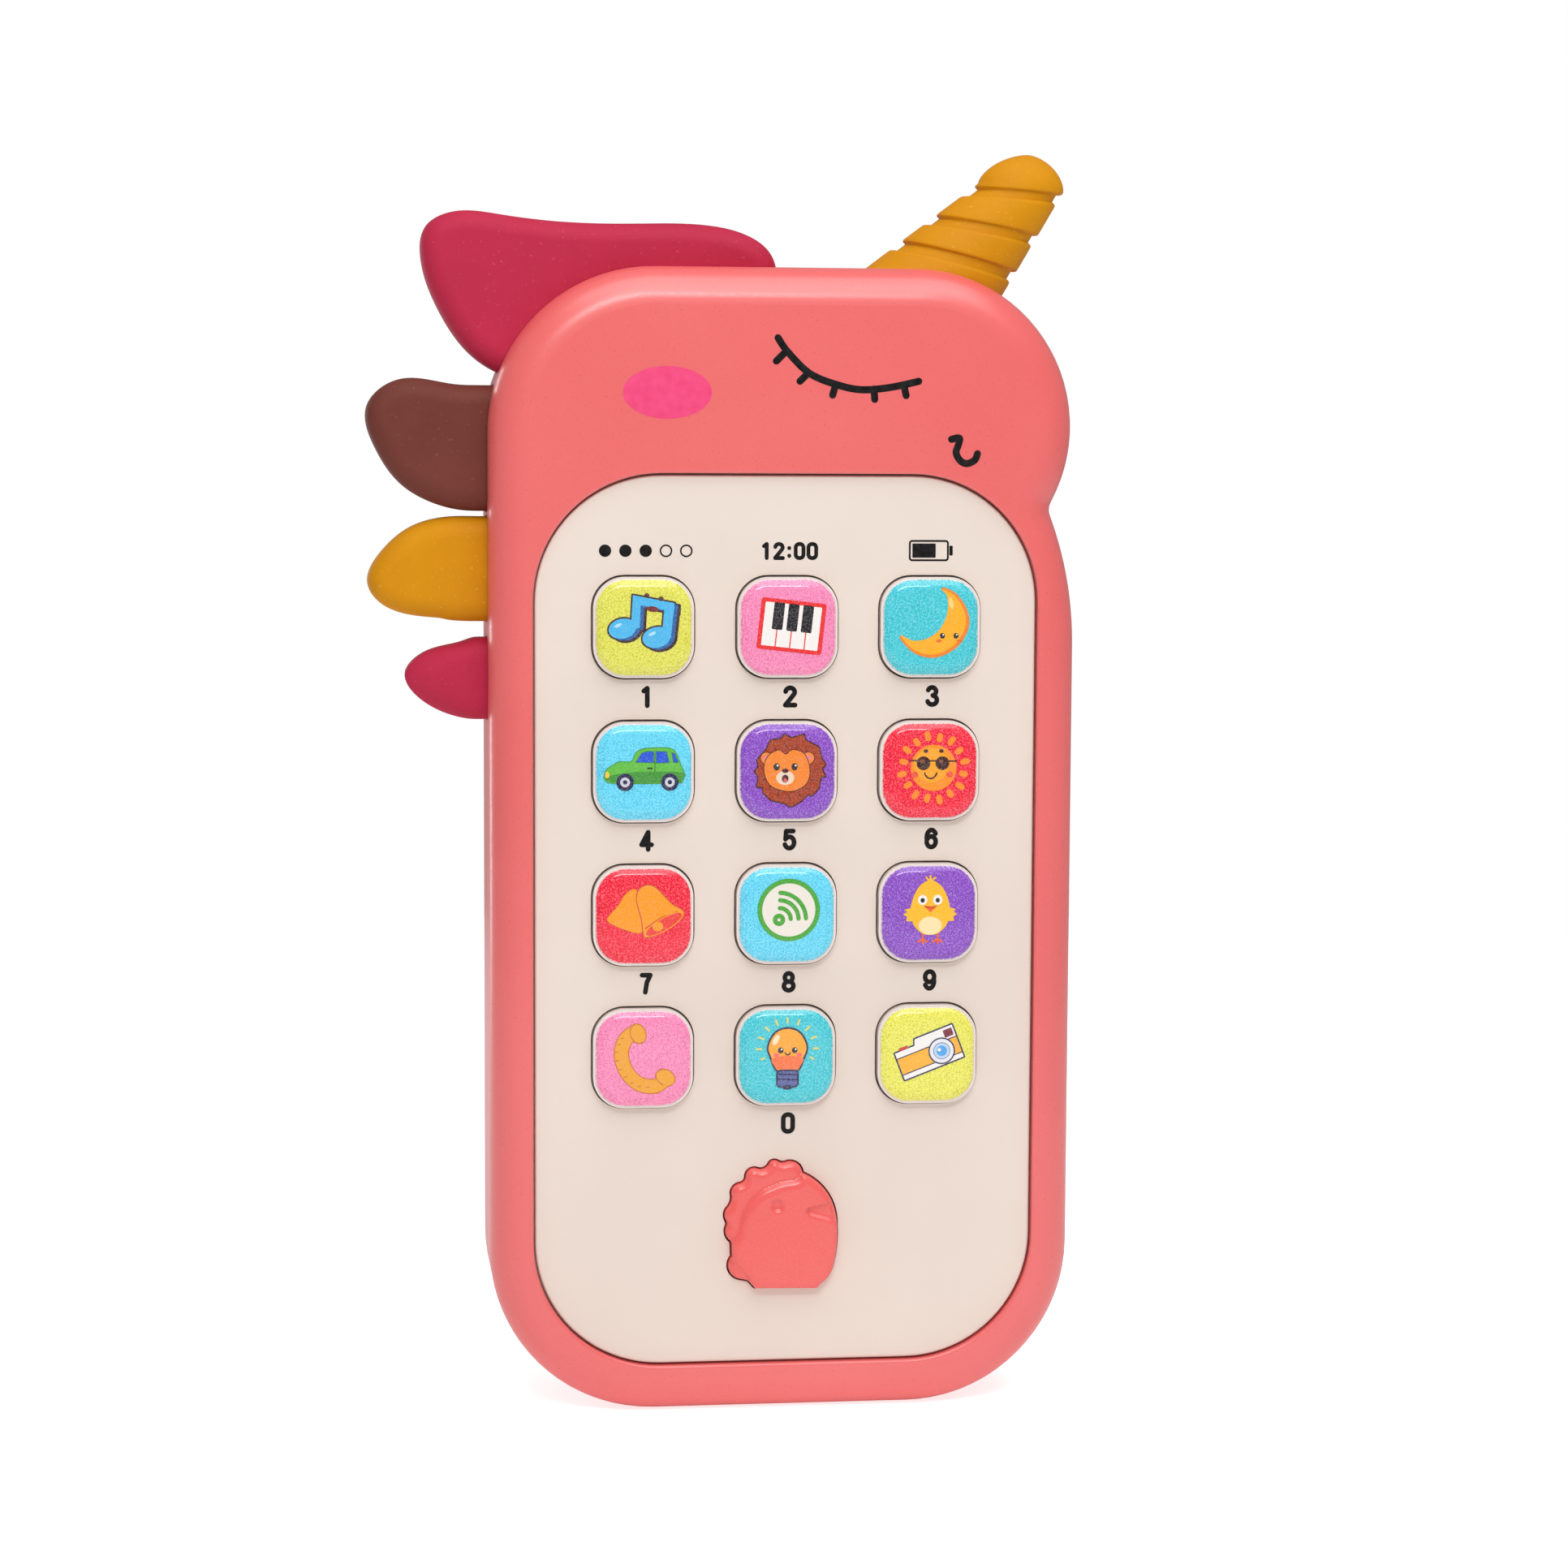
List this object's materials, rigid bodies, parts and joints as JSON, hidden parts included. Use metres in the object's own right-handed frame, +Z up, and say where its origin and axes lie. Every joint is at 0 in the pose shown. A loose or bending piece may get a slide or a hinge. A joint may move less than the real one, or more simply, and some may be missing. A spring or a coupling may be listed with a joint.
{
  "type": "toy cell phone",
  "caption": "Upright toy phone shaped like a unicorn: a rounded case with a keypad of push keys on a light panel, a silicone horn and mane, and a battery door behind.",
  "frame": {"origin": "middle of the flat bottom end, on which the phone stands upright", "axes": "+Z up towards the horn, the keys face -Y, +X to the right as seen from the front"},
  "size_m": [0.0903, 0.025, 0.162],
  "materials": {
    "coral_plastic": "satin",
    "cream_plastic": "satin",
    "key_plastic": "satin",
    "coral_key": "gloss",
    "grey_rubber": "matte",
    "board_green": "satin",
    "black_resin": "gloss",
    "screw_steel": "satin",
    "speaker_steel": "satin",
    "speaker_paper": "matte",
    "cell_jacket": "satin",
    "contact_nickel": "bright",
    "switch_housing": "matte",
    "switch_knob": "satin",
    "crimson_silicone": "matte",
    "brown_silicone": "matte",
    "mustard_silicone": "matte",
    "key_1_print": "gloss",
    "key_2_print": "gloss",
    "key_3_print": "gloss",
    "key_4_print": "gloss",
    "key_5_print": "gloss",
    "key_6_print": "gloss",
    "key_7_print": "gloss",
    "key_8_print": "gloss",
    "key_9_print": "gloss",
    "key_call_print": "gloss",
    "key_0_print": "gloss",
    "key_camera_print": "gloss"
  },
  "bodies": {
    "case": {"battery_cell_left": "cell_jacket", "battery_cell_right": "cell_jacket", "battery_contact_plates": "contact_nickel", "battery_springs": "contact_nickel", "board_screws": "screw_steel", "case_screws": "screw_steel", "circuit_board": "board_green", "front_shell": "coral_plastic", "horn": "mustard_silicone", "keypad_membrane": "grey_rubber", "mane_brown": "brown_silicone", "mane_crimson": "crimson_silicone", "mane_top": "crimson_silicone", "mane_yellow": "mustard_silicone", "power_switch_body": "switch_housing", "rear_shell": "coral_plastic", "screen_panel": "cream_plastic", "sound_chip": "black_resin", "speaker_basket": "speaker_steel", "speaker_cone": "speaker_paper", "speaker_magnet": "speaker_steel"},
    "key_1": {"key_1": "key_plastic", "key_1_label": "key_1_print"},
    "key_2": {"key_2": "key_plastic", "key_2_label": "key_2_print"},
    "key_3": {"key_3": "key_plastic", "key_3_label": "key_3_print"},
    "key_4": {"key_4": "key_plastic", "key_4_label": "key_4_print"},
    "key_5": {"key_5": "key_plastic", "key_5_label": "key_5_print"},
    "key_6": {"key_6": "key_plastic", "key_6_label": "key_6_print"},
    "key_7": {"key_7": "key_plastic", "key_7_label": "key_7_print"},
    "key_8": {"key_8": "key_plastic", "key_8_label": "key_8_print"},
    "key_9": {"key_9": "key_plastic", "key_9_label": "key_9_print"},
    "key_call": {"key_call": "key_plastic", "key_call_label": "key_call_print"},
    "key_0": {"key_0": "key_plastic", "key_0_label": "key_0_print"},
    "key_camera": {"key_camera": "key_plastic", "key_camera_label": "key_camera_print"},
    "dinosaur_key": {"dinosaur_key": "coral_key"},
    "power_switch_knob": {"power_switch_knob": "switch_knob"},
    "battery_door": {"battery_door": "coral_plastic"},
    "battery_door_screw": {"battery_door_screw": "screw_steel"}
  },
  "joints": [
    {"name": "key_1_press", "type": "slide", "parent": "case", "child": "key_1", "axis": [0, 1, 0], "range_m": [0, 0.001], "stiffness_N_per_m": 800, "deforming": ["keypad_membrane"]},
    {"name": "key_2_press", "type": "slide", "parent": "case", "child": "key_2", "axis": [0, 1, 0], "range_m": [0, 0.001], "stiffness_N_per_m": 800, "deforming": ["keypad_membrane"]},
    {"name": "key_3_press", "type": "slide", "parent": "case", "child": "key_3", "axis": [0, 1, 0], "range_m": [0, 0.001], "stiffness_N_per_m": 800, "deforming": ["keypad_membrane"]},
    {"name": "key_4_press", "type": "slide", "parent": "case", "child": "key_4", "axis": [0, 1, 0], "range_m": [0, 0.001], "stiffness_N_per_m": 800, "deforming": ["keypad_membrane"]},
    {"name": "key_5_press", "type": "slide", "parent": "case", "child": "key_5", "axis": [0, 1, 0], "range_m": [0, 0.001], "stiffness_N_per_m": 800, "deforming": ["keypad_membrane"]},
    {"name": "key_6_press", "type": "slide", "parent": "case", "child": "key_6", "axis": [0, 1, 0], "range_m": [0, 0.001], "stiffness_N_per_m": 800, "deforming": ["keypad_membrane"]},
    {"name": "key_7_press", "type": "slide", "parent": "case", "child": "key_7", "axis": [0, 1, 0], "range_m": [0, 0.001], "stiffness_N_per_m": 800, "deforming": ["keypad_membrane"]},
    {"name": "key_8_press", "type": "slide", "parent": "case", "child": "key_8", "axis": [0, 1, 0], "range_m": [0, 0.001], "stiffness_N_per_m": 800, "deforming": ["keypad_membrane"]},
    {"name": "key_9_press", "type": "slide", "parent": "case", "child": "key_9", "axis": [0, 1, 0], "range_m": [0, 0.001], "stiffness_N_per_m": 800, "deforming": ["keypad_membrane"]},
    {"name": "key_call_press", "type": "slide", "parent": "case", "child": "key_call", "axis": [0, 1, 0], "range_m": [0, 0.001], "stiffness_N_per_m": 800, "deforming": ["keypad_membrane"]},
    {"name": "key_0_press", "type": "slide", "parent": "case", "child": "key_0", "axis": [0, 1, 0], "range_m": [0, 0.001], "stiffness_N_per_m": 800, "deforming": ["keypad_membrane"]},
    {"name": "key_camera_press", "type": "slide", "parent": "case", "child": "key_camera", "axis": [0, 1, 0], "range_m": [0, 0.001], "stiffness_N_per_m": 800, "deforming": ["keypad_membrane"]},
    {"name": "dinosaur_key_press", "type": "slide", "parent": "case", "child": "dinosaur_key", "axis": [0, 1, 0], "range_m": [0, 0.001], "stiffness_N_per_m": 800, "deforming": ["keypad_membrane"]},
    {"name": "power_switch_slide", "type": "slide", "parent": "case", "child": "power_switch_knob", "axis": [1, 0, 0], "range_m": [0, 0.004]},
    {"name": "battery_door_hinge", "type": "hinge", "parent": "case", "child": "battery_door", "pos_m": [0, 0.0118, 0.082], "axis": [1, 0, 0], "range_deg": [0, 60]},
    {"name": "battery_door_screw_turn", "type": "hinge", "parent": "battery_door", "child": "battery_door_screw", "pos_m": [0, 0.011, 0.0264], "axis": [0, 1, 0], "continuous": true}
  ]
}
